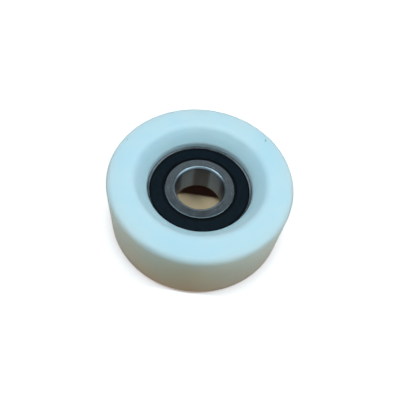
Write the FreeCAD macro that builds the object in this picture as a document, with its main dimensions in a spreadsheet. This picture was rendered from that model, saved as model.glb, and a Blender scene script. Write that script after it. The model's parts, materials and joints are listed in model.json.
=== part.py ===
# Escalator roller: a one-piece moulded nylon wheel with dished faces, held on a sealed ball bearing by two
# moulded lips. The axis is Z, the origin is the centre of the bore, and the roller lies on its lower face.
import FreeCAD, Part
import Sketcher
import os

BALL_COUNT = 8
ROUND = 360 / BALL_COUNT

SIZES = {
    # Moulded roller
    "roller_diameter": 75.0,
    "roller_width": 30.0,
    "tread_edge_radius": 2.5,
    "recess_width": 5.25,
    "recess_mouth_radius": 3.5,
    "recess_dish": 0.5,
    "recess_dish_radius": 8.0,
    "lip_thickness": 2.4,
    "lip_overlap": 1.75,
    "lip_edge_radius": 1.6,
    # Bearing envelope
    "bore_diameter": 20.0,
    "bearing_diameter": 47.0,
    "bearing_width": 14.0,
    "bore_edge_radius": 1.2,
    "outer_edge_radius": 1.0,
    "ring_edge_break": 0.25,
    # Balls and raceways
    "ball_diameter": 7.938,
    "ball_play": 0.05,
    "race_relief": 0.16,
    "inner_shoulder": 1.71,
    "outer_shoulder": 1.45,
    # Seals
    "seal_recess": 0.35,
    "seal_thickness": 1.1,
    "seal_edge_radius": 0.2,
    "seal_mouth_step": 1.45,
    "bead_depth": 0.35,
    "bead_height": 0.7,
    "rim_groove_width": 0.45,
    "lip_groove_width": 1.1,
    "seal_lip_height": 0.45,
    "seal_lip_gap": 0.1,
    "notch_depth": 0.5,
    "notch_side_gap": 0.25,
    # Cage and rivets
    "cage_sheet": 0.6,
    "pocket_play": 0.15,
    "cage_land_gap": 0.45,
    "rivet_diameter": 1.3,
    "rivet_head_diameter": 2.2,
    "rivet_head_height": 0.5,
}

doc = FreeCAD.newDocument("escalator_roller")
sheet = doc.addObject("Spreadsheet::Sheet", "Sizes")
for row, (size, millimetres) in enumerate(SIZES.items(), start=1):
    sheet.set(f"A{row}", size)
    sheet.set(f"B{row}", str(millimetres))
    sheet.setAlias(f"B{row}", size)
doc.recompute()

# Radii and heights worked out from the sheet, as expressions
TREAD_RADIUS = "Sizes.roller_diameter / 2"
FACE_HEIGHT = "Sizes.roller_width / 2"
BORE_RADIUS = "Sizes.bore_diameter / 2"
SEAT_RADIUS = "Sizes.bearing_diameter / 2"
RING_HEIGHT = "Sizes.bearing_width / 2"
LIP_RADIUS = f"{SEAT_RADIUS} - Sizes.lip_overlap"
LIP_HEIGHT = f"{RING_HEIGHT} + Sizes.lip_thickness"
MOUTH_RADIUS = f"{LIP_RADIUS} + Sizes.recess_width"
DISH_RADIUS = f"{LIP_RADIUS} + Sizes.recess_width / 2"
DISH_HEIGHT = f"({FACE_HEIGHT} + {LIP_HEIGHT}) / 2 - Sizes.recess_dish"

BALL_RADIUS = "Sizes.ball_diameter / 2"
PITCH_RADIUS = "(Sizes.bore_diameter + Sizes.bearing_diameter) / 4"
RACE_RADIUS = f"{BALL_RADIUS} + Sizes.race_relief"
INNER_RACE = f"{PITCH_RADIUS} - {BALL_RADIUS} - Sizes.ball_play"
OUTER_RACE = f"{PITCH_RADIUS} + {BALL_RADIUS} + Sizes.ball_play"
INNER_LAND = f"{INNER_RACE} + Sizes.inner_shoulder"
OUTER_LAND = f"{OUTER_RACE} - Sizes.outer_shoulder"

SEAL_FACE = f"{RING_HEIGHT} - Sizes.seal_recess"
SEAL_BACK = f"{SEAL_FACE} - Sizes.seal_thickness"
SEAL_MOUTH = f"{OUTER_LAND} + Sizes.seal_mouth_step"
BEAD_RADIUS = f"{SEAL_MOUTH} + Sizes.bead_depth"
BEAD_TOP = f"{SEAL_BACK} + Sizes.bead_height"
RIM_RADIUS = f"{SEAL_MOUTH} - Sizes.rim_groove_width"
NOTCH_RADIUS = f"{INNER_LAND} - Sizes.notch_depth"
LIP_TIP = f"{NOTCH_RADIUS} + Sizes.seal_lip_gap"
LIP_STEP = f"{INNER_LAND} + Sizes.lip_groove_width"
LIP_MIDDLE = f"{SEAL_FACE} - Sizes.seal_thickness / 2"
LIP_TOP = f"{LIP_MIDDLE} + Sizes.seal_lip_height / 2"
LIP_BOTTOM = f"{LIP_MIDDLE} - Sizes.seal_lip_height / 2"
NOTCH_TOP = f"{LIP_TOP} + Sizes.notch_side_gap"
NOTCH_BOTTOM = f"{LIP_BOTTOM} - Sizes.notch_side_gap"

POCKET_RADIUS = f"{BALL_RADIUS} + Sizes.pocket_play"
CUP_RADIUS = f"{POCKET_RADIUS} + Sizes.cage_sheet"
CAGE_BLANK = f"{CUP_RADIUS} + Sizes.cage_sheet"
CAGE_INSIDE = f"{INNER_LAND} + Sizes.cage_land_gap"
CAGE_OUTSIDE = f"{OUTER_LAND} - Sizes.cage_land_gap"
RIVET_RADIUS = "Sizes.rivet_diameter / 2"
HEAD_RADIUS = "Sizes.rivet_head_diameter / 2"
HEAD_DOME = f"(({HEAD_RADIUS}) ^ 2 + Sizes.rivet_head_height ^ 2) / (2 * Sizes.rivet_head_height)"
HEAD_CENTRE = f"Sizes.cage_sheet + Sizes.rivet_head_height - {HEAD_DOME}"
HEAD_LATITUDE = f"asin(1 - Sizes.rivet_head_height / ({HEAD_DOME}))"


def number(expression):
    """The present value of an expression over the sheet."""
    return float(sheet.evalExpression(expression))


def on_side(side, places):
    """The same (radius, height) expressions above the mid-plane, or below it for side -1."""
    return [(radius, f"{side} * ({height})") for radius, height in places]


def both_sides(upper):
    """A closed outline from its upper half: up one way, and back down its mirror image."""
    return on_side(1, upper) + on_side(-1, upper)[::-1]


def axial_sketch(body, name):
    """An empty sketch on the body's own XZ plane, with radius along its X and height along its Y."""
    plane = next(feature for feature in body.Origin.OriginFeatures if feature.Role == "XZ_Plane")
    sketch = body.newObject("Sketcher::SketchObject", name)
    sketch.AttachmentSupport = [(plane, "")]
    sketch.MapMode = "FlatFace"
    return sketch


def bind(sketch, kind, expression, *places):
    """Add one dimension to a sketch and bind it to an expression."""
    index = sketch.addConstraint(Sketcher.Constraint(kind, *places, number(expression)))
    sketch.setExpression(f"Constraints[{index}]", expression)


def turned_body(label, outline):
    """A body turned about Z from a closed outline of (radius, height) expressions."""
    body = doc.addObject("PartDesign::Body", label)
    sketch = axial_sketch(body, f"{label}_outline")
    corners = [FreeCAD.Vector(number(radius), number(height), 0) for radius, height in outline]
    for start, end in zip(corners, corners[1:] + corners[:1]):
        sketch.addGeometry(Part.LineSegment(start, end))
    for index in range(len(corners)):
        following = (index + 1) % len(corners)
        sketch.addConstraint(Sketcher.Constraint("Coincident", index, 2, following, 1))
    for index, (radius, height) in enumerate(outline):
        bind(sketch, "DistanceX", radius, -1, 1, index, 1)
        bind(sketch, "DistanceY", height, -1, 1, index, 1)
    turned = body.newObject("PartDesign::Revolution", f"{label}_turned")
    turned.Profile = sketch
    turned.ReferenceAxis = (sketch, ["V_Axis"])
    turned.Angle = 360
    doc.recompute()
    return body


def cut_raceway(body, centre_radius):
    """Groove a ring with the ball track, a circle a little wider than the ball."""
    blank_volume = body.Shape.Volume
    sketch = axial_sketch(body, f"{body.Label}_track")
    middle = FreeCAD.Vector(number(centre_radius), 0, 0)
    sketch.addGeometry(Part.Circle(middle, FreeCAD.Vector(0, 0, 1), number(RACE_RADIUS)))
    sketch.addConstraint(Sketcher.Constraint("PointOnObject", 0, 3, -1))
    bind(sketch, "DistanceX", centre_radius, -1, 1, 0, 3)
    bind(sketch, "Radius", RACE_RADIUS, 0)
    track = body.newObject("PartDesign::Groove", f"{body.Label}_raceway")
    track.Profile = sketch
    track.ReferenceAxis = (sketch, ["V_Axis"])
    track.Angle = 360
    doc.recompute()
    if track.Shape.Volume >= blank_volume:
        raise RuntimeError(f"the raceway of {body.Label} cuts nothing")


def dress_edges(body, kind, size, places):
    """Round ("Fillet") or break ("Chamfer") the circular edges at these places by a size of the sheet."""
    base = body.Tip
    targets = [(number(radius), number(height)) for radius, height in places]
    edges = []
    for index, edge in enumerate(base.Shape.Edges, start=1):
        if not isinstance(edge.Curve, Part.Circle):
            continue
        circle = (edge.Curve.Radius, edge.Curve.Center.z)
        if any(abs(circle[0] - radius) + abs(circle[1] - height) < 1e-5 for radius, height in targets):
            edges.append(f"Edge{index}")
    if len(edges) < len(targets):
        raise RuntimeError(f"{body.Label} has no edge for {size}")
    dressing = body.newObject(f"PartDesign::{kind}", f"{body.Label}_{size}")
    dressing.Base = (base, edges)
    dressing.setExpression("Radius" if kind == "Fillet" else "Size", f"Sizes.{size}")
    doc.recompute()


def make_roller_body():
    """The moulded wheel: tread, dished faces, and lips that hold the bearing's outer ring."""
    body = turned_body("roller_body", both_sides([
        (SEAT_RADIUS, RING_HEIGHT),
        (LIP_RADIUS, RING_HEIGHT),
        (LIP_RADIUS, LIP_HEIGHT),
        (DISH_RADIUS, DISH_HEIGHT),
        (MOUTH_RADIUS, FACE_HEIGHT),
        (TREAD_RADIUS, FACE_HEIGHT),
    ]))
    dress_edges(body, "Fillet", "tread_edge_radius", both_sides([(TREAD_RADIUS, FACE_HEIGHT)]))
    dress_edges(body, "Fillet", "recess_mouth_radius", both_sides([(MOUTH_RADIUS, FACE_HEIGHT)]))
    dress_edges(body, "Fillet", "recess_dish_radius", both_sides([(DISH_RADIUS, DISH_HEIGHT)]))
    dress_edges(body, "Fillet", "lip_edge_radius", both_sides([(LIP_RADIUS, LIP_HEIGHT)]))
    dress_edges(body, "Fillet", "outer_edge_radius", both_sides([(SEAT_RADIUS, RING_HEIGHT)]))
    return body


def make_outer_ring():
    """The outer ring: raceway inside, and beside each face an undercut that holds a seal's bead."""
    body = turned_body("bearing_outer_ring", both_sides([
        (OUTER_LAND, SEAL_BACK),
        (BEAD_RADIUS, SEAL_BACK),
        (BEAD_RADIUS, BEAD_TOP),
        (SEAL_MOUTH, BEAD_TOP),
        (SEAL_MOUTH, RING_HEIGHT),
        (SEAT_RADIUS, RING_HEIGHT),
    ]))
    cut_raceway(body, f"{OUTER_RACE} - ({RACE_RADIUS})")
    dress_edges(body, "Fillet", "outer_edge_radius", both_sides([(SEAT_RADIUS, RING_HEIGHT)]))
    dress_edges(body, "Chamfer", "ring_edge_break", both_sides([(SEAL_MOUTH, RING_HEIGHT)]))
    return body


def make_inner_ring():
    """The inner ring: axle bore, raceway outside, and a notch beside each face where a seal's lip runs."""
    body = turned_body("bearing_inner_ring", both_sides([
        (BORE_RADIUS, RING_HEIGHT),
        (INNER_LAND, RING_HEIGHT),
        (INNER_LAND, NOTCH_TOP),
        (NOTCH_RADIUS, NOTCH_TOP),
        (NOTCH_RADIUS, NOTCH_BOTTOM),
        (INNER_LAND, NOTCH_BOTTOM),
    ]))
    cut_raceway(body, f"{INNER_RACE} + {RACE_RADIUS}")
    dress_edges(body, "Fillet", "bore_edge_radius", both_sides([(BORE_RADIUS, RING_HEIGHT)]))
    dress_edges(body, "Chamfer", "ring_edge_break", both_sides([(INNER_LAND, RING_HEIGHT)]))
    return body


def make_seal(label, side):
    """A rubber seal disc: bead in the outer ring, flat web, and a thin lip in the inner ring's notch."""
    body = turned_body(label, on_side(side, [
        (LIP_TIP, LIP_TOP),
        (LIP_STEP, LIP_TOP),
        (LIP_STEP, SEAL_FACE),
        (RIM_RADIUS, SEAL_FACE),
        (RIM_RADIUS, BEAD_TOP),
        (BEAD_RADIUS, BEAD_TOP),
        (BEAD_RADIUS, SEAL_BACK),
        (LIP_STEP, SEAL_BACK),
        (LIP_TIP, LIP_BOTTOM),
    ]))
    face_edges = on_side(side, [(LIP_STEP, SEAL_FACE), (RIM_RADIUS, SEAL_FACE)])
    dress_edges(body, "Fillet", "seal_edge_radius", face_edges)
    return body


def on_pitch_circle(item, angle):
    """Bind an object's place to the balls' pitch circle, at an angle in degrees."""
    item.setExpression("Placement.Base.x", f"{PITCH_RADIUS} * cos({angle})")
    item.setExpression("Placement.Base.y", f"{PITCH_RADIUS} * sin({angle})")
    return item


def spheres(name, radius):
    """One sphere at each ball's place, all of one radius."""
    ring = []
    for index in range(BALL_COUNT):
        ball = doc.addObject("Part::Sphere", f"{name}_{index + 1}")
        ball.setExpression("Radius", radius)
        ring.append(on_pitch_circle(ball, index * ROUND))
    return ring


def cylinder(name, radius, height, base):
    """An upright cylinder on the axis, its base at a height above the mid-plane."""
    solid = doc.addObject("Part::Cylinder", name)
    solid.setExpression("Radius", radius)
    solid.setExpression("Height", height)
    solid.setExpression("Placement.Base.z", base)
    return solid


def combine(kind, name, solids):
    """A boolean of several solids, Part::MultiFuse or Part::MultiCommon."""
    result = doc.addObject(kind, name)
    result.Shapes = solids
    return result


def cut(name, base, tool):
    """One solid less another."""
    result = doc.addObject("Part::Cut", name)
    result.Base = base
    result.Tool = tool
    return result


def make_cage_half(label, holes):
    """One stamped half of the cage: flat lands between round cups, cut to the ribbon's width."""
    outside = cylinder(f"{label}_outside", CAGE_OUTSIDE, CAGE_BLANK, "0")
    inside = cylinder(f"{label}_inside", CAGE_INSIDE, CAGE_BLANK, "0")
    ribbon = cut(f"{label}_ribbon", outside, inside)
    land = cylinder(f"{label}_land", CAGE_OUTSIDE, "Sizes.cage_sheet", "0")
    formed = combine("Part::MultiFuse", f"{label}_formed", [land] + spheres("cage_cup", CUP_RADIUS))
    stamped = combine("Part::MultiCommon", f"{label}_stamped", [ribbon, formed])
    pockets = combine("Part::MultiFuse", f"{label}_pockets", spheres("cage_pocket", POCKET_RADIUS))
    hollowed = cut(f"{label}_hollowed", stamped, pockets)
    return cut(label, hollowed, holes)


def make_rivet_heads(name, angle):
    """The two domed heads of one rivet, as caps of a sphere on the cage's outer faces."""
    heads = []
    for side, end in ((1, "upper"), (-1, "lower")):
        head = doc.addObject("Part::Sphere", f"{name}_{end}_head")
        head.setExpression("Radius", HEAD_DOME)
        head.setExpression("Angle1", HEAD_LATITUDE if side > 0 else "-90")
        head.setExpression("Angle2", "90" if side > 0 else f"-{HEAD_LATITUDE}")
        head.setExpression("Placement.Base.z", f"{side} * ({HEAD_CENTRE})")
        heads.append(on_pitch_circle(head, angle))
    return heads


def make_rivet_shanks(name):
    """Shanks through both sheets, one midway between each two balls."""
    shanks = []
    for index in range(BALL_COUNT):
        shank = cylinder(f"{name}_{index + 1}", RIVET_RADIUS, "2 * Sizes.cage_sheet", "-Sizes.cage_sheet")
        shanks.append(on_pitch_circle(shank, (index + 0.5) * ROUND))
    return shanks


def make_cage():
    """Two like cage halves, face to face at the mid-plane, and the rivets that join them."""
    shanks = make_rivet_shanks("rivet_shank")
    upper = make_cage_half("cage_half_upper", combine("Part::MultiFuse", "cage_rivet_holes", shanks))
    lower = doc.addObject("Part::Mirroring", "cage_half_lower")
    lower.Source = upper
    lower.Normal = FreeCAD.Vector(0, 0, 1)
    rivets = []
    for index, shank in enumerate(shanks):
        heads = make_rivet_heads(f"rivet_{index + 1}", (index + 0.5) * ROUND)
        rivets.append(combine("Part::MultiFuse", f"rivet_{index + 1}", [shank] + heads))
    group = doc.addObject("Part::Compound", "cage_rivets")
    group.Links = rivets
    return [upper, lower, group]


def write_parts(parts):
    """Check every object and each sub-part's shape, then write one file for each sub-part."""
    failed = [item.Label for item in doc.Objects if {"Invalid", "Error"} & set(item.State)]
    if failed:
        raise RuntimeError(f"failed objects: {failed}")
    for part in parts:
        if part.Shape.isNull() or not part.Shape.isValid():
            raise RuntimeError(f"{part.Label} has no valid shape")
    os.makedirs("parts", exist_ok=True)
    for part in parts:
        part.Shape.exportStep(f"parts/{part.Label}.step")
        print(f"{part.Label}: {len(part.Shape.Solids)} solid(s), {part.Shape.Volume:.1f} mm3")


subparts = [
    make_roller_body(),
    make_outer_ring(),
    make_inner_ring(),
    make_seal("seal_upper", 1),
    make_seal("seal_lower", -1),
]
subparts += spheres("ball", BALL_RADIUS)
subparts += make_cage()
doc.recompute()
write_parts(subparts)
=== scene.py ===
import json
import math

import bpy
from mathutils import Matrix, Vector


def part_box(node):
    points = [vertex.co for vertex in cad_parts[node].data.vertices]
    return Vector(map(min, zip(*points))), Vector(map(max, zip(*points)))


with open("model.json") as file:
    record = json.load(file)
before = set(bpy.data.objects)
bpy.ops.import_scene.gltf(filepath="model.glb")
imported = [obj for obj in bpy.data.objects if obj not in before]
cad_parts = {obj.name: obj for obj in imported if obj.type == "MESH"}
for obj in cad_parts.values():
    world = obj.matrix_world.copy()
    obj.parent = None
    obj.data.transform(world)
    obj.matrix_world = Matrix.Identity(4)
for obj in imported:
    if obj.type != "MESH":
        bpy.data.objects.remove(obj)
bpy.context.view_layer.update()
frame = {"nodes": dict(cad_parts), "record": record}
scene = bpy.context.scene
nodes = frame["nodes"]
mounts = {mount["name"]: mount for mount in frame["record"]["mounts"]}

# Camera, fitted to the photograph's frame
FRAME_PIXELS = 400
FOCAL_PIXELS = 433.0
FACE_CENTRE_PIXEL = (201.45, 176.2)
CAMERA_DISTANCE = 0.1719
CAMERA_ELEVATION = math.radians(54.36)
CAMERA_ROLL = math.radians(7.97)
SENSOR_WIDTH = 36.0

# Object sizes read from the frame, in metres
ROLLER_LOW, ROLLER_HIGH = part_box("roller_body")
TREAD_RADIUS = ROLLER_HIGH.x
FACE_HEIGHT = ROLLER_HIGH.z
FLOOR_HEIGHT = ROLLER_LOW.z
RING_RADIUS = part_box("bearing_inner_ring")[1].x
SEAL_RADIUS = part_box("seal_upper")[1].x
SEAT_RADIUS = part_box("bearing_outer_ring")[1].x
BORE_RADIUS = mounts["axle_bore"]["dims"]["r_mm"] / 1000

# Small sizes that no box gives, in metres
LIP_RADIUS = SEAT_RADIUS - 0.00175
LIP_GROOVE = 0.0011
RIM_GROOVE = 0.0008

# Painted shade on the nylon just above the lip, where the recess is shaded: the radii over which it fades
# in and out
LIP_SHADE_START = (LIP_RADIUS + 0.0001, LIP_RADIUS + 0.0006)
LIP_SHADE_END = (LIP_RADIUS + 0.0008, LIP_RADIUS + 0.0036)

# How far light scatters in the nylon at the lip and the face, and how much further in the tread
LIP_SCATTER = 0.0005
FACE_SCATTER = 0.007
TREAD_SCATTER = 0.008
LIP_BLEND = (SEAT_RADIUS - 0.001, SEAT_RADIUS + 0.002)
EDGE_BLEND = (FACE_HEIGHT - 0.006, FACE_HEIGHT - 0.001)
TREAD_BLEND = (0.80 * TREAD_RADIUS, 0.90 * TREAD_RADIUS)

# Bore film of painted reflection and duller gloss: the radii where it ends and where the rounded edge
# starts
BORE_FILM_END = (1.05 * BORE_RADIUS, 1.13 * BORE_RADIUS)
BORE_EDGE_START = (BORE_RADIUS, 1.03 * BORE_RADIUS)

# Tones of the painted reflection in the bore, by how far to the side of the bore they are, from 0 to 1:
# lighter bands where the lamps reflect, and dark flanks on the rounded edge
SHEEN_BAND_START = (0.20, 0.55)
SHEEN_BAND_END = (0.70, 0.95)
FLANK_START = (0.80, 1.0)
FLANK_SHIFT = 0.08
STREAK_SCALE = 2.4
STREAK_FLOOR = 0.5
STREAK_RANGE = (0.15, 0.75)

# Painted shade in the grooves of the seal: the radii where the inner one ends and the outer one starts
LIP_GROOVE_SHADE_END = (RING_RADIUS + 0.9 * LIP_GROOVE, RING_RADIUS + 1.1 * LIP_GROOVE)
RIM_GROOVE_SHADE_START = (SEAL_RADIUS - 1.2 * RIM_GROOVE, SEAL_RADIUS - 0.9 * RIM_GROOVE)

# Stains on the upper face: the place across and along, and the size
STAINS = ((0.0249, 0.0231, 0.0004), (-0.0323, 0.0134, 0.0002))
STAIN_STRETCH = (1, 0.4, 1)
STAIN_CORE = 0.55

# Texture scales, in cycles to the metre
FLOW_SCALE = 55
NYLON_MARKS = 2600
NYLON_GRAIN = 2600
STAIN_GRAIN = 3500
STEEL_PATCH = 320
RING_MARKS = 9000
BALL_MARKS = 5000
CAGE_MARKS = 4000
DUST_SCALE = 420
RUBBER_GRAIN = 6000

# Parts of a noise's range that are spread over a tone or a gloss
FLOW_RANGE = (0.30, 0.70)
GRAIN_RANGE = (0.25, 0.75)
TONE_RANGE = (0.35, 0.65)
GLOSS_RANGE = (0.3, 0.7)
DUST_RANGE = (0.35, 0.75)

# Shares of ground marks and of soft patches in the tone of steel
MARK_SHARE = 0.7
PATCH_SHARE = 0.3

# Relief of the grain and marks, in metres
NYLON_RELIEF = 0.00004
TURNED_RELIEF = 0.00003
STEEL_RELIEF = 0.00001
RUBBER_RELIEF = 0.00003

# Roughness, from smooth to rough, and what the bore's film adds
NYLON_ROUGH = (0.44, 0.58)
RING_ROUGH = (0.18, 0.28)
OUTER_ROUGH = (0.22, 0.32)
BALL_ROUGH = (0.06, 0.14)
CAGE_ROUGH = (0.34, 0.50)
RUBBER_ROUGH = (0.55, 0.72)
BORE_FILM_ROUGH = 0.20

# Colours, linear
NYLON_COOL = (0.630, 0.825, 0.890, 1)
NYLON_WARM = (0.690, 0.840, 0.870, 1)
# Darker nylon tone that paints the shade in the recess just above the lip
NYLON_LIP_SHADE = (0.530, 0.700, 0.725, 1)
STAIN_COLOUR = (0.40, 0.51, 0.54, 1)
STEEL_LIGHT = (0.43, 0.47, 0.50, 1)
STEEL_DARK = (0.31, 0.35, 0.38, 1)
OUTER_LIGHT = (0.34, 0.38, 0.41, 1)
OUTER_DARK = (0.25, 0.28, 0.31, 1)
# Painted reflection in the bore: dark and light streak tones, the rounded edge, and its dark flanks
BORE_LIGHT = (0.29, 0.38, 0.53, 1)
BORE_DARK = (0.13, 0.15, 0.20, 1)
BORE_EDGE = (0.22, 0.27, 0.29, 1)
BORE_SIDE_SHADE = (0.07, 0.085, 0.09, 1)
BALL_LIGHT = (0.76, 0.76, 0.77, 1)
BALL_DARK = (0.64, 0.64, 0.65, 1)
CAGE_LIGHT = (0.50, 0.49, 0.47, 1)
CAGE_DARK = (0.36, 0.35, 0.33, 1)
RUBBER_BLACK = (0.0010, 0.0050, 0.0085, 1)
RUBBER_GREY = (0.0024, 0.0076, 0.0125, 1)
# Near-black tone that paints the shade in the seal's grooves
RUBBER_PAINTED_SHADE = (0.0002, 0.0006, 0.0012, 1)
FLOOR_SEEN = (0.92, 0.84, 0.80, 1)
FLOOR_TAN = (0.98, 0.66, 0.38, 1)
# Dark red-brown that paints the shadow on the floor under the part, behind the bore
FLOOR_PAINTED_SHADOW = (0.44, 0.18, 0.11, 1)
FLOOR_NEAR = (0.62, 0.23, 0.05, 1)
FLOOR_BOUNCE = (0.53, 0.33, 0.12, 1)
FLOOR_GLOW = (0.55, 0.54, 0.55, 1)
ROOM_LOW = (0.12, 0.07, 0.03, 1)
ROOM_HIGH = (0.24, 0.28, 0.30, 1)
CEILING = (0.035, 0.042, 0.046, 1)
BACKDROP = (1, 1, 1, 1)
KEY_COLOUR = (0.68, 0.87, 0.98)

# Shine of the plastics, and the floor's roughness
NYLON_SHINE = 0.15
RUBBER_SHINE = 0.12
FLOOR_ROUGH = 0.9

# Floor, in metres, and the distances over which its tones blend
FLOOR_RADIUS = 4.0
FLOOR_SIDES = 96
# Painted shadow on the floor under the part, behind the bore's back edge
PAINTED_SHADOW_BLEND = (BORE_RADIUS, 1.12 * BORE_RADIUS)
UNDER_BLEND = (0.6 * TREAD_RADIUS, 0.9 * TREAD_RADIUS)
BOUNCE_BLEND = (1.1 * TREAD_RADIUS, 1.8 * TREAD_RADIUS)
GLOW_BLEND = (0.80 * TREAD_RADIUS, 1.15 * TREAD_RADIUS)
WHITE_BLEND = (4 * TREAD_RADIUS, 12 * TREAD_RADIUS)

# Room: the rise, from 0 at eye level to 1 overhead, over which its tones blend
WALL_BLEND = (0.40, 0.76)
CEILING_BLEND = (0.80, 0.88)
BACKDROP_BLEND = (0.45, 0.55)

# Lamps in a row overhead, in metres and watts
LAMP_REACH = 0.82
LAMP_FORWARD = -0.04
LAMP_LENGTH = 0.30
LAMP_DEPTH = 0.045
LEFT_LEAN = math.radians(-24)
RIGHT_LEAN = math.radians(30)
LEFT_POWER = 2.8
RIGHT_POWER = 3.1
TOP_POWER = 0.8


class Nodes:
    """Short calls for the node tree of one material or world."""

    def __init__(self, tree):
        self.tree = tree

    def put(self, socket, value):
        """Link an output to a socket, or set the socket's own value."""
        if isinstance(value, bpy.types.NodeSocket):
            self.tree.links.new(value, socket)
        else:
            socket.default_value = value

    def add(self, kind, inputs=None, **settings):
        """A new node with its settings and inputs."""
        node = self.tree.nodes.new(kind)
        for name, value in settings.items():
            setattr(node, name, value)
        for name, value in (inputs or {}).items():
            self.put(node.inputs[name], value)
        return node

    def math(self, operation, first, second=0.0):
        """The result of one arithmetic step on numbers or sockets."""
        return self.add("ShaderNodeMath", {0: first, 1: second}, operation=operation).outputs[0]

    def vector(self, operation, first, second=(0, 0, 0)):
        """The vector that one step on vectors gives."""
        return self.add("ShaderNodeVectorMath", {0: first, 1: second}, operation=operation).outputs[0]

    def length(self, vector):
        """The length of a vector."""
        return self.add("ShaderNodeVectorMath", {0: vector}, operation="LENGTH").outputs["Value"]

    def axis(self, vector, name):
        """One coordinate of a vector, by its axis."""
        return self.add("ShaderNodeSeparateXYZ", {0: vector}).outputs[name]

    def span(self, value, start, end, low=0.0, high=1.0):
        """A value taken from start..end to low..high, smoothly and clamped."""
        inputs = {"Value": value, "From Min": start, "From Max": end, "To Min": low, "To Max": high}
        return self.add("ShaderNodeMapRange", inputs, interpolation_type="SMOOTHSTEP").outputs[0]

    def mix(self, factor, first, second):
        """A colour between two colours or sockets."""
        node = self.add("ShaderNodeMix", data_type="RGBA")
        self.put(node.inputs[0], factor)
        self.put(node.inputs[6], first)
        self.put(node.inputs[7], second)
        return node.outputs[2]

    def noise(self, vector, scale, detail):
        """Plain fractal noise of a vector."""
        inputs = {"Vector": vector, "Scale": scale, "Detail": detail}
        return self.add("ShaderNodeTexNoise", inputs).outputs["Fac"]

    def bump(self, height, distance, strength, normal=None):
        """A bump of a height map, in metres, over an earlier normal if there is one."""
        inputs = {"Height": height, "Distance": distance, "Strength": strength}
        if normal is not None:
            inputs["Normal"] = normal
        return self.add("ShaderNodeBump", inputs).outputs[0]


def new_material(name):
    """An empty material, the calls for its tree, and its shader."""
    material = bpy.data.materials.new(name)
    material.use_nodes = True
    tree = Nodes(material.node_tree)
    return material, tree, material.node_tree.nodes["Principled BSDF"]


def place(tree):
    """The position on the part, in metres."""
    return tree.add("ShaderNodeTexCoord").outputs["Object"]


def flattened(tree, position):
    """The position with its height left out."""
    return tree.vector("MULTIPLY", position, (1, 1, 0))


def turning_marks(tree, position, fineness):
    """Noise drawn out round the Z axis, as a lathe or a grinding wheel leaves it."""
    flat = flattened(tree, position)
    radius = tree.length(flat)
    around = tree.vector("MULTIPLY", tree.vector("NORMALIZE", flat), (2, 2, 2))
    height = tree.math("MULTIPLY", tree.axis(position, "Z"), fineness)
    lift = tree.add("ShaderNodeCombineXYZ", {"Z": height}).outputs[0]
    vector = tree.vector("ADD", around, lift)
    depth = tree.math("MULTIPLY", radius, fineness)
    inputs = {"Vector": vector, "W": depth, "Scale": 1.0, "Detail": 3.0}
    return tree.add("ShaderNodeTexNoise", inputs, noise_dimensions="4D").outputs["Fac"]


def stain(tree, position, centre, size):
    """One small drawn-out stain with a ragged edge, from 0 to 1."""
    offset = tree.vector("SUBTRACT", position, centre)
    reach = tree.length(tree.vector("MULTIPLY", offset, STAIN_STRETCH))
    wobble = tree.math("ADD", tree.noise(position, STAIN_GRAIN, 2.0), 0.5)
    return tree.span(tree.math("MULTIPLY", reach, wobble), STAIN_CORE * size, size, 1.0, 0.0)


def nylon_colour(tree, position, radius):
    """Cool white with faint flow tones, painted shade in the recess just above the lip, and small stains.
    """
    cloud = tree.span(tree.noise(position, FLOW_SCALE, 3.0), *FLOW_RANGE)
    flow = tree.mix(cloud, NYLON_COOL, NYLON_WARM)
    # Painted shade: the nylon is darker in a ring just above the lip, where the recess is shaded
    lip_shade = tree.math("MULTIPLY", tree.span(radius, *LIP_SHADE_START), tree.span(radius, *LIP_SHADE_END, 1.0, 0.0))
    colour = tree.mix(lip_shade, flow, NYLON_LIP_SHADE)
    for across, along, size in STAINS:
        spot = stain(tree, position, (across, along, FACE_HEIGHT), size)
        colour = tree.mix(spot, colour, STAIN_COLOUR)
    return colour


def nylon_relief(tree, position, grain):
    """Moulded grain, with turning marks over it."""
    grained = tree.bump(grain, NYLON_RELIEF, 0.25)
    return tree.bump(turning_marks(tree, position, NYLON_MARKS), TURNED_RELIEF, 0.20, grained)


def nylon_scatter(tree, radius, height):
    """How far light scatters: little in the thin lip, more in the face, most in the thick tread."""
    face = tree.span(radius, *LIP_BLEND, LIP_SCATTER, FACE_SCATTER)
    low = tree.span(height, *EDGE_BLEND, TREAD_SCATTER, 0.0)
    outer = tree.span(radius, *TREAD_BLEND)
    return tree.math("ADD", face, tree.math("MULTIPLY", low, outer))


def nylon():
    """Natural nylon: a pale, translucent moulding."""
    material, tree, shader = new_material("nylon")
    position = place(tree)
    radius = tree.length(flattened(tree, position))
    height = tree.math("ABSOLUTE", tree.axis(position, "Z"))
    grain = tree.noise(position, NYLON_GRAIN, 3.0)
    tree.put(shader.inputs["Base Color"], nylon_colour(tree, position, radius))
    tree.put(shader.inputs["Roughness"], tree.span(grain, *GRAIN_RANGE, *NYLON_ROUGH))
    tree.put(shader.inputs["Normal"], nylon_relief(tree, position, grain))
    tree.put(shader.inputs["Subsurface Scale"], nylon_scatter(tree, radius, height))
    shader.inputs["Subsurface Weight"].default_value = 1.0
    shader.inputs["Subsurface Radius"].default_value = (1.0, 1.0, 1.0)
    shader.inputs["Specular IOR Level"].default_value = NYLON_SHINE
    return material


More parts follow.
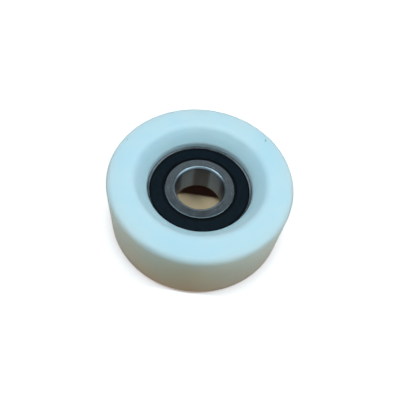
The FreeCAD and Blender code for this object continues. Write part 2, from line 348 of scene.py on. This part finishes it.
def bore_painted_reflection(tree, position, colour, gloss):
    """Painted reflections on the axle bore's wall, in soft streaks along the axis that are lighter in two
    bands, and a dimmer tone on its rounded edge with painted dark reflection on its flanks; the film is
    also duller.
    """
    flat = flattened(tree, position)
    radius = tree.length(flat)
    around = tree.vector("NORMALIZE", flat)
    across = tree.axis(around, "X")
    aside = tree.math("ABSOLUTE", across)
    rise = tree.span(aside, *SHEEN_BAND_START)
    sheen_bands = tree.math("MULTIPLY", rise, tree.span(aside, *SHEEN_BAND_END, 1.0, 0.0))
    level = tree.math("ADD", sheen_bands, STREAK_FLOOR)
    streak = tree.math("MULTIPLY", tree.noise(around, STREAK_SCALE, 1.0), level)
    # Painted reflection: dark and light streaks, lighter in two bands where the lamps reflect
    streaks = tree.mix(tree.span(streak, *STREAK_RANGE), BORE_DARK, BORE_LIGHT)
    flank = tree.math("ABSOLUTE", tree.math("ADD", across, FLANK_SHIFT))
    # Painted dark reflection on the left and right flanks of the bore's rounded edge
    rounding = tree.mix(tree.span(flank, *FLANK_START), BORE_EDGE, BORE_SIDE_SHADE)
    film = tree.mix(tree.span(radius, *BORE_EDGE_START), streaks, rounding)
    film_reach = tree.span(radius, *BORE_FILM_END, 1.0, 0.0)
    dull = tree.math("ADD", gloss, tree.math("MULTIPLY", film_reach, BORE_FILM_ROUGH))
    return tree.mix(film_reach, colour, film), dull


def steel(name, light, dark, roughness, fineness, bored=False):
    """Ground steel: marks round the axis in tone, gloss and relief."""
    material, tree, shader = new_material(name)
    position = place(tree)
    marks = turning_marks(tree, position, fineness)
    patch = tree.noise(position, STEEL_PATCH, 4.0)
    ground = tree.math("MULTIPLY", marks, MARK_SHARE)
    tone = tree.math("ADD", ground, tree.math("MULTIPLY", patch, PATCH_SHARE))
    colour = tree.mix(tree.span(tone, *TONE_RANGE), dark, light)
    gloss = tree.span(tone, *GLOSS_RANGE, *roughness)
    # The bore gets painted reflections on its wall and rounded edge, and a duller gloss
    if bored:
        colour, gloss = bore_painted_reflection(tree, position, colour, gloss)
    tree.put(shader.inputs["Base Color"], colour)
    tree.put(shader.inputs["Roughness"], gloss)
    tree.put(shader.inputs["Normal"], tree.bump(marks, STEEL_RELIEF, 0.25))
    shader.inputs["Metallic"].default_value = 1.0
    return material


def rubber():
    """Black seal rubber: fine moulded grain, a slight dusty tone, and painted shade in the grooves at its
    edges.
    """
    material, tree, shader = new_material("seal_rubber")
    position = place(tree)
    radius = tree.length(flattened(tree, position))
    dust = tree.span(tree.noise(position, DUST_SCALE, 5.0), *DUST_RANGE)
    dusty = tree.mix(dust, RUBBER_BLACK, RUBBER_GREY)
    # Painted shade: the seal is darker in its grooves at the inner ring and at the outer rim
    inner = tree.span(radius, *LIP_GROOVE_SHADE_END, 1.0, 0.0)
    groove_shade = tree.math("ADD", inner, tree.span(radius, *RIM_GROOVE_SHADE_START))
    grain = tree.noise(position, RUBBER_GRAIN, 2.0)
    tree.put(shader.inputs["Base Color"], tree.mix(groove_shade, dusty, RUBBER_PAINTED_SHADE))
    tree.put(shader.inputs["Roughness"], tree.span(grain, *GLOSS_RANGE, *RUBBER_ROUGH))
    tree.put(shader.inputs["Normal"], tree.bump(grain, RUBBER_RELIEF, 0.3))
    shader.inputs["Specular IOR Level"].default_value = RUBBER_SHINE
    return material


def dress(names, material):
    """Give CAD nodes a finish."""
    for name in names:
        node = nodes[name]
        node.data.materials.clear()
        node.data.materials.append(material)


def seen_ray(tree):
    """1 for rays that show the background: from the camera, off gloss, or through glass."""
    rays = tree.add("ShaderNodeLightPath")
    shown = tree.math("MAXIMUM", rays.outputs["Is Camera Ray"], rays.outputs["Is Glossy Ray"])
    return tree.math("MAXIMUM", shown, rays.outputs["Is Transmission Ray"])


def add_floor():
    """A wide floor, tan under the part with a painted shadow behind the bore, pale round it and white far
    away, that bounces a warm tone.
    """
    centre = (0, 0, FLOOR_HEIGHT)
    bpy.ops.mesh.primitive_circle_add(
        vertices=FLOOR_SIDES, radius=FLOOR_RADIUS, fill_type="NGON", location=centre
    )
    floor = bpy.context.object
    floor.name = "floor"
    material, tree, shader = new_material("floor")
    seen = seen_ray(tree)
    position = place(tree)
    away = tree.length(position)
    back = tree.axis(position, "Y")
    # Painted shadow: the tan floor under the part turns dark red-brown behind the bore's back edge
    under = tree.mix(tree.span(back, *PAINTED_SHADOW_BLEND), FLOOR_TAN, FLOOR_PAINTED_SHADOW)
    shown = tree.mix(tree.span(away, *UNDER_BLEND), under, FLOOR_SEEN)
    bounce = tree.mix(tree.span(away, *BOUNCE_BLEND), FLOOR_NEAR, FLOOR_BOUNCE)
    glow = tree.math("MULTIPLY", seen, tree.span(away, *GLOW_BLEND))
    white = tree.mix(tree.span(away, *WHITE_BLEND), FLOOR_GLOW, BACKDROP)
    tree.put(shader.inputs["Base Color"], tree.mix(seen, bounce, shown))
    tree.put(shader.inputs["Emission Strength"], glow)
    tree.put(shader.inputs["Emission Color"], white)
    shader.inputs["Roughness"].default_value = FLOOR_ROUGH
    shader.inputs["Specular IOR Level"].default_value = 0.0
    floor.data.materials.append(material)


def add_room():
    """A dim room, warm near the floor and cool above, with a white backdrop low round the part."""
    world = bpy.data.worlds.new("room")
    world.use_nodes = True
    scene.world = world
    tree = Nodes(world.node_tree)
    climb = tree.axis(tree.add("ShaderNodeTexCoord").outputs["Generated"], "Z")
    walls = tree.mix(tree.span(climb, *WALL_BLEND), ROOM_LOW, ROOM_HIGH)
    room = tree.mix(tree.span(climb, *CEILING_BLEND), walls, CEILING)
    behind = tree.math("MULTIPLY", seen_ray(tree), tree.span(climb, *BACKDROP_BLEND, 1.0, 0.0))
    background = world.node_tree.nodes["Background"]
    tree.put(background.inputs["Color"], tree.mix(behind, room, BACKDROP))
    background.inputs["Strength"].default_value = 1.0


def add_softbox(name, lean, power):
    """A long soft lamp overhead that faces the part, leaning to one side of it."""
    lamp = bpy.data.lights.new(name, "AREA")
    lamp.shape = "RECTANGLE"
    lamp.size = LAMP_LENGTH
    lamp.size_y = LAMP_DEPTH
    lamp.energy = power
    lamp.color = KEY_COLOUR
    box = bpy.data.objects.new(name, lamp)
    box.location = (LAMP_REACH * math.sin(lean), LAMP_FORWARD, LAMP_REACH * math.cos(lean))
    box.rotation_euler = (0, lean, 0)
    scene.collection.objects.link(box)


def add_camera():
    """The photograph's camera: above the front, a little rolled, with the upper face off its centre."""
    data = bpy.data.cameras.new("camera")
    data.sensor_width = SENSOR_WIDTH
    data.lens = SENSOR_WIDTH * FOCAL_PIXELS / FRAME_PIXELS
    data.clip_start = 0.01
    camera = bpy.data.objects.new("camera", data)
    scene.collection.objects.link(camera)
    face_centre = Vector((0, 0, FACE_HEIGHT))
    back = Vector((0, -math.cos(CAMERA_ELEVATION), math.sin(CAMERA_ELEVATION)))
    aside, below = (math.atan2(pixel - FRAME_PIXELS / 2, FOCAL_PIXELS) for pixel in FACE_CENTRE_PIXEL)
    tilt = Matrix.Rotation(math.pi / 2 - CAMERA_ELEVATION, 4, "X")
    roll = Matrix.Rotation(CAMERA_ROLL, 4, "Z")
    aim = Matrix.Rotation(below, 4, "X") @ Matrix.Rotation(aside, 4, "Y")
    camera.matrix_world = Matrix.Translation(face_centre + back * CAMERA_DISTANCE) @ tilt @ roll @ aim
    scene.camera = camera


dress(["roller_body"], nylon())
ring_steel = steel("ring_steel", STEEL_LIGHT, STEEL_DARK, RING_ROUGH, RING_MARKS, bored=True)
dress(["bearing_inner_ring"], ring_steel)
outer_steel = steel("outer_steel", OUTER_LIGHT, OUTER_DARK, OUTER_ROUGH, RING_MARKS)
dress(["bearing_outer_ring"], outer_steel)
dress(["seal_upper", "seal_lower"], rubber())
ball_steel = steel("ball_steel", BALL_LIGHT, BALL_DARK, BALL_ROUGH, BALL_MARKS)
dress([name for name in nodes if name.startswith("ball_")], ball_steel)
cage_steel = steel("cage_steel", CAGE_LIGHT, CAGE_DARK, CAGE_ROUGH, CAGE_MARKS)
dress(["cage_half_upper", "cage_half_lower", "cage_rivets"], cage_steel)

add_floor()
add_room()
add_softbox("lamp_left", LEFT_LEAN, LEFT_POWER)
add_softbox("lamp_right", RIGHT_LEAN, RIGHT_POWER)
add_softbox("lamp_top", 0.0, TOP_POWER)
add_camera()

scene.view_settings.view_transform = "Standard"
